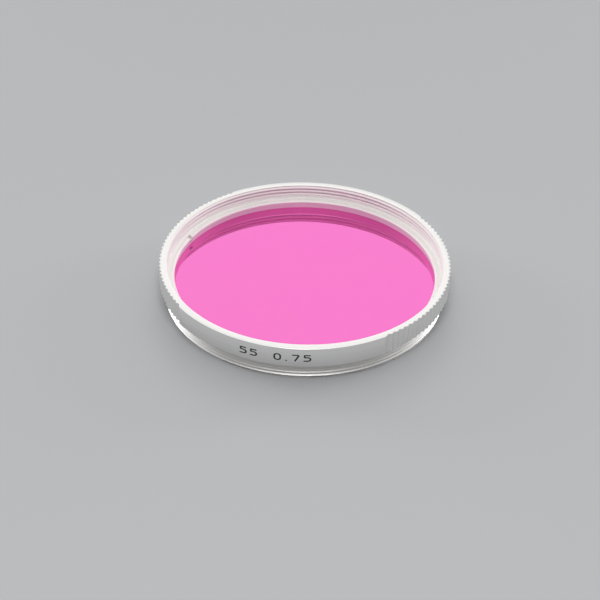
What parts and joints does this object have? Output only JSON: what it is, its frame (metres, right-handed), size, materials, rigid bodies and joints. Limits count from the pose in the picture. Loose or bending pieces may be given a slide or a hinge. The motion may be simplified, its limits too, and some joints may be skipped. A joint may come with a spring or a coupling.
{
  "type": "camera lens filter",
  "caption": "Round screw-in camera lens filter: a thin fluted metal rim with a male thread behind and a female thread in front, and a pink-reflecting coated glass disc under a threaded ring.",
  "frame": {"origin": "centre of the rear face, on the rim's axis, which is the bottom of the filter as it lies", "axes": "+Z along the rim's axis towards the subject side, out of the front thread; -Y is the side that faces the camera in the picture, with the plain stretch of the grip band; +X to the right of it"},
  "size_m": [0.0572, 0.0574, 0.0076],
  "materials": {
    "rim_metal": "satin, silver anodised",
    "ring_metal": "satin, silver anodised",
    "coated_glass": "polished, with a pink-reflecting interference coating"
  },
  "bodies": {
    "root": {"rim": "rim_metal", "retaining_ring": "ring_metal", "filter_glass": "coated_glass"}
  },
  "joints": []
}
